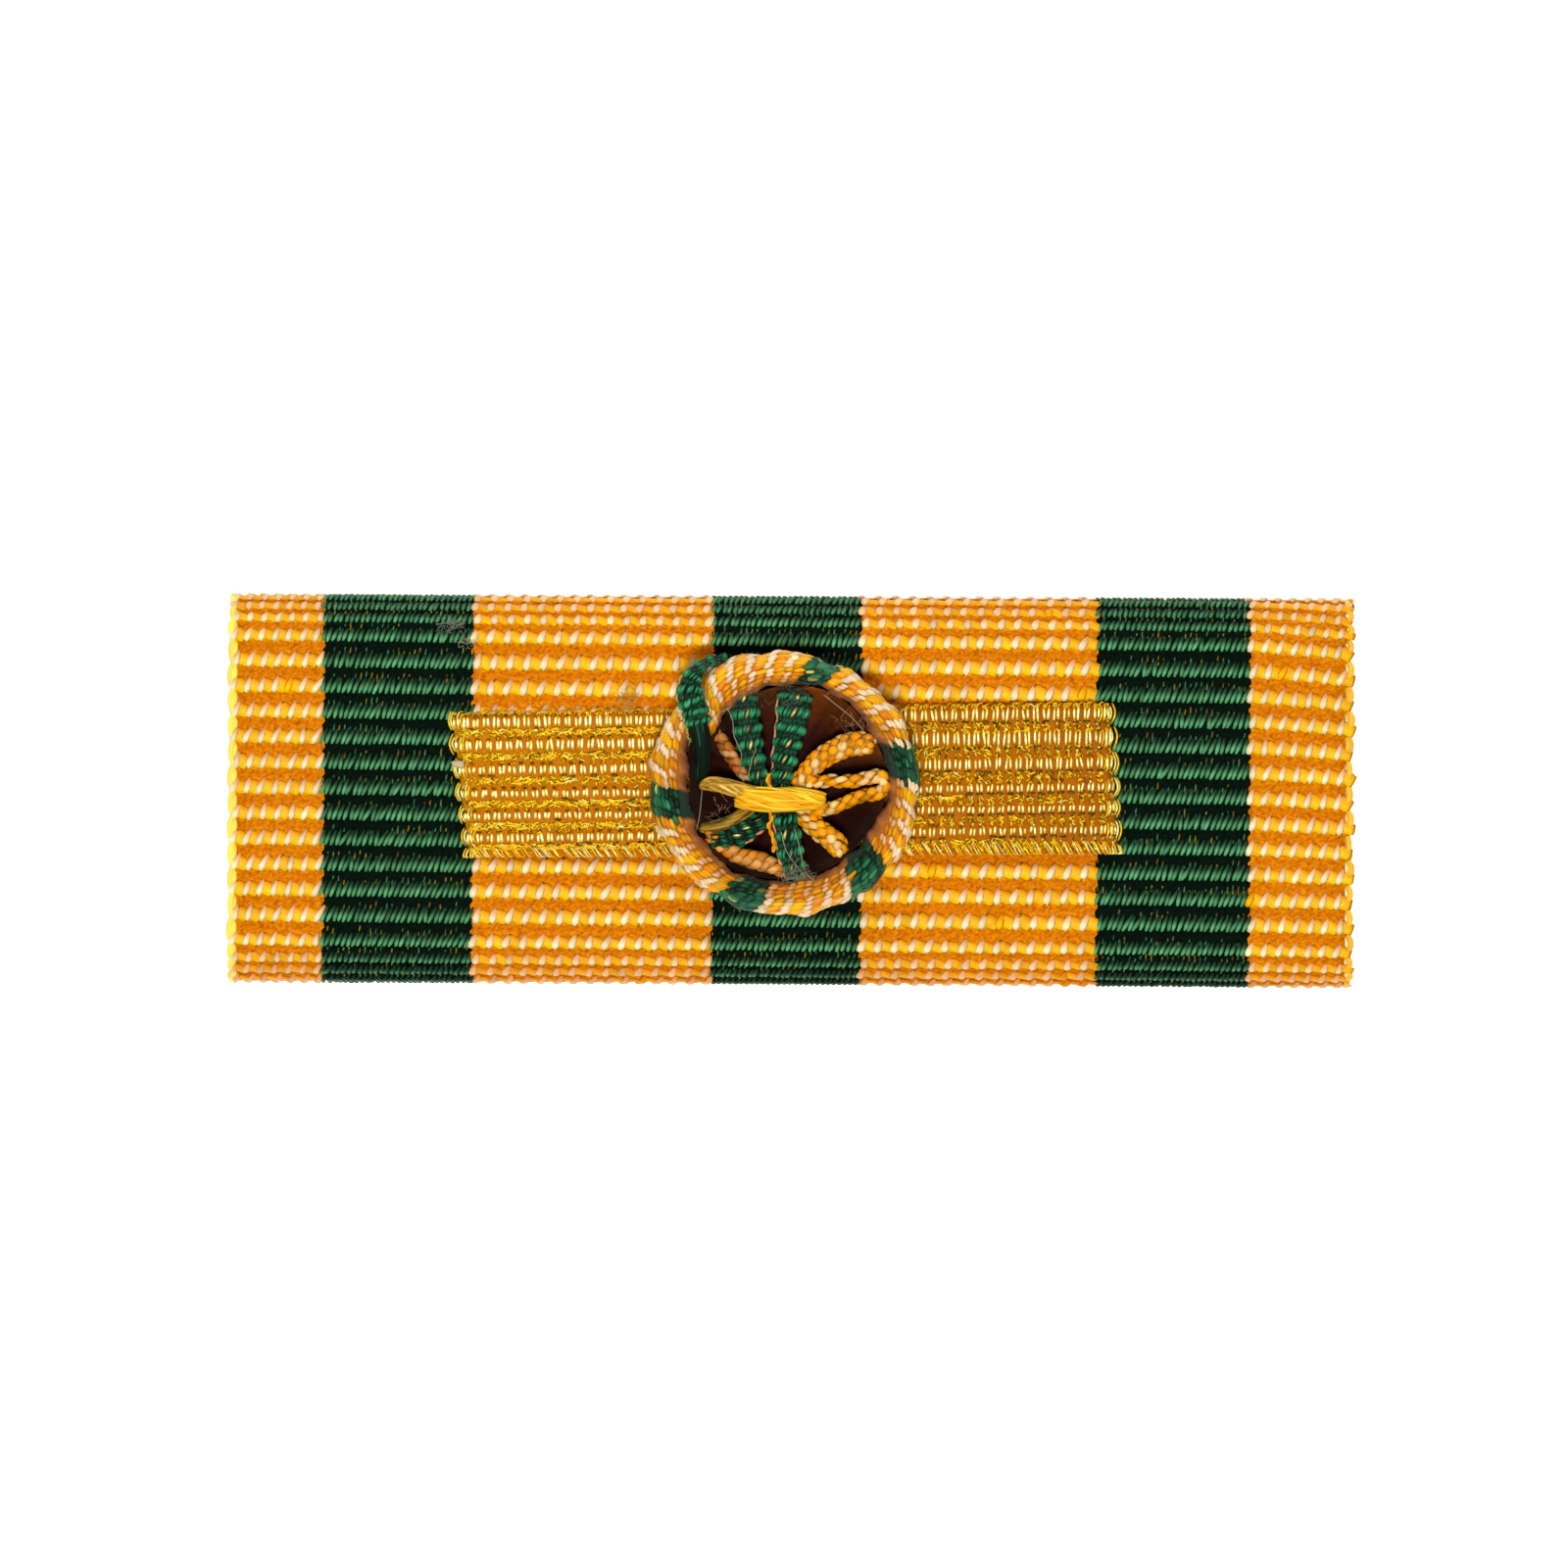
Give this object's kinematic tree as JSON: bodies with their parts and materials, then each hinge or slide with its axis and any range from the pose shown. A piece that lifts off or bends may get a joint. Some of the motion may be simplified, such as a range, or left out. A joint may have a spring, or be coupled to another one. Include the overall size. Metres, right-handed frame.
{
  "type": "ribbon bar",
  "caption": "Ribbon bar: a brass bar wrapped in striped ribbed ribbon, with gold lace and a gathered rosette on its face and a brooch pin behind.",
  "frame": {"origin": "centre of the overall box on the plane that the knuckle and the catch of the pin rest on", "axes": "+X along the bar to the right of its face, +Y up the face as worn, +Z out of the face"},
  "size_m": [0.038, 0.0132, 0.0091],
  "materials": {
    "brass_sheet": "dull rolled brass, slightly tarnished",
    "brass_pin": "satin brass, slightly tarnished",
    "striped_ribbon": "ribbed rayon ribbon in orange and dark green stripes with pale flecks",
    "gold_lace": "woven gilt metal thread, glossy",
    "rosette_cloth": "rolled ribbed ribbon in orange and green with pale flecks",
    "rosette_inner_cloth": "deep orange brown cloth in shadow",
    "green_cloth": "dark green woven strip with small yellow flecks",
    "orange_cloth": "twisted orange and pale yarn",
    "yellow_cloth": "dull yellow cloth fold",
    "yellow_thread": "bundle of yellow silk thread"
  },
  "bodies": {
    "root": {"backing_bar": "brass_sheet", "brooch_pin": "brass_pin", "ribbon": "striped_ribbon", "gold_lace": "gold_lace", "rosette_rim": "rosette_cloth", "rosette_bowl": "rosette_inner_cloth", "overlap_fold": "green_cloth", "pleat_green_upper_left": "green_cloth", "pleat_green_upper_right": "green_cloth", "pleat_orange_upper_left": "orange_cloth", "pleat_yellow_left": "yellow_cloth", "pleat_olive_left": "yellow_cloth", "pleat_green_lower_left": "green_cloth", "pleat_green_bottom": "green_cloth", "pleat_orange_upper_right": "orange_cloth", "loop_orange_right": "orange_cloth", "pleat_orange_lower_right": "orange_cloth", "tucked_end": "orange_cloth", "centre_stitch": "yellow_thread"}
  },
  "joints": []
}
